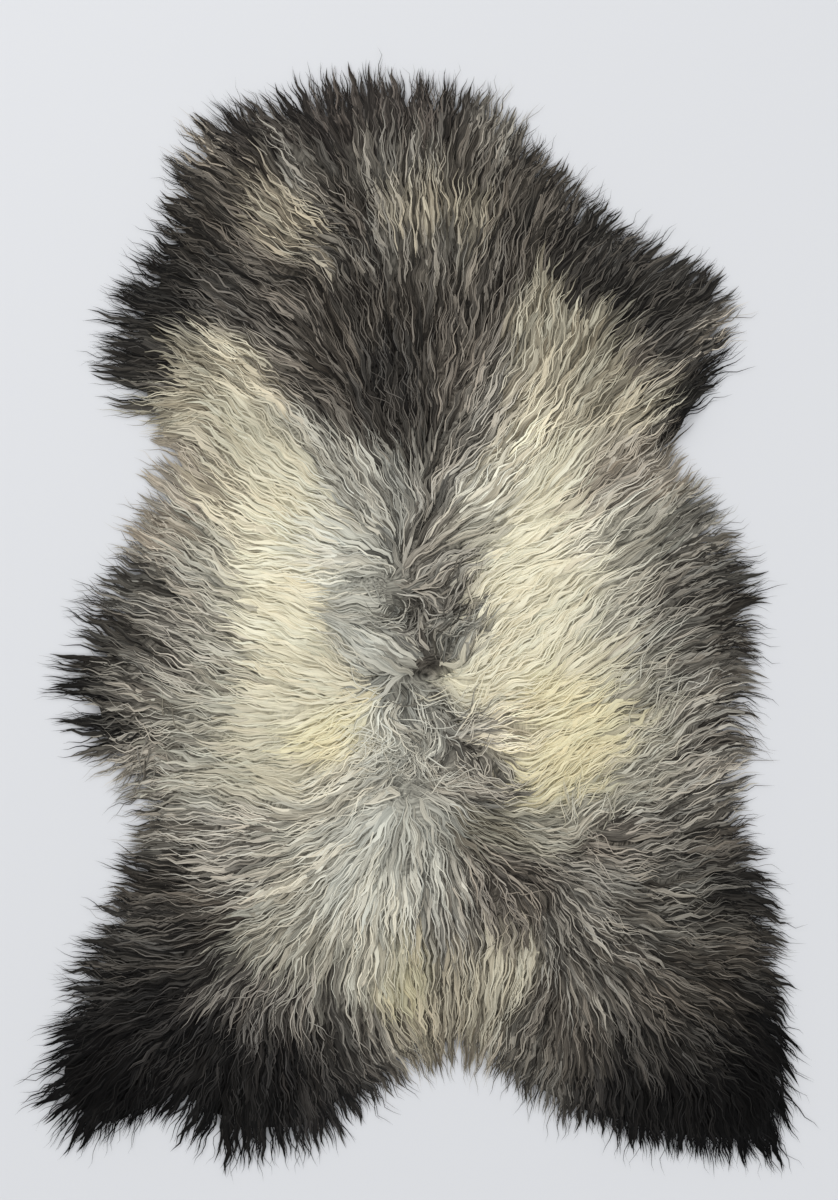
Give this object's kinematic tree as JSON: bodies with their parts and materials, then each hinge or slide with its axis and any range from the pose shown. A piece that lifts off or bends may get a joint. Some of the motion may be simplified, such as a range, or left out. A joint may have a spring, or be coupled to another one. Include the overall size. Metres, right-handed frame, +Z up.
{
  "type": "sheepskin",
  "caption": "Whole sheepskin lying flat, with forelegs, flanks and hind legs in its outline: a thin tanned hide under a deep fleece of long wavy wool in shades of grey and cream.",
  "frame": {"origin": "on the surface the pelt lies on, under the middle of the box round it", "axes": "+Y towards the neck, +X to the right as seen from above with the neck away from the viewer, +Z up out of the fleece"},
  "size_m": [0.7692, 1.0906, 0.0425],
  "materials": {
    "tanned_skin": "matt suede, the flesh side of a tanned skin",
    "wool": "long wavy wool, undyed, from black through grey to cream"
  },
  "bodies": {
    "root": {"hide": "tanned_skin", "fleece": "wool"}
  },
  "joints": []
}
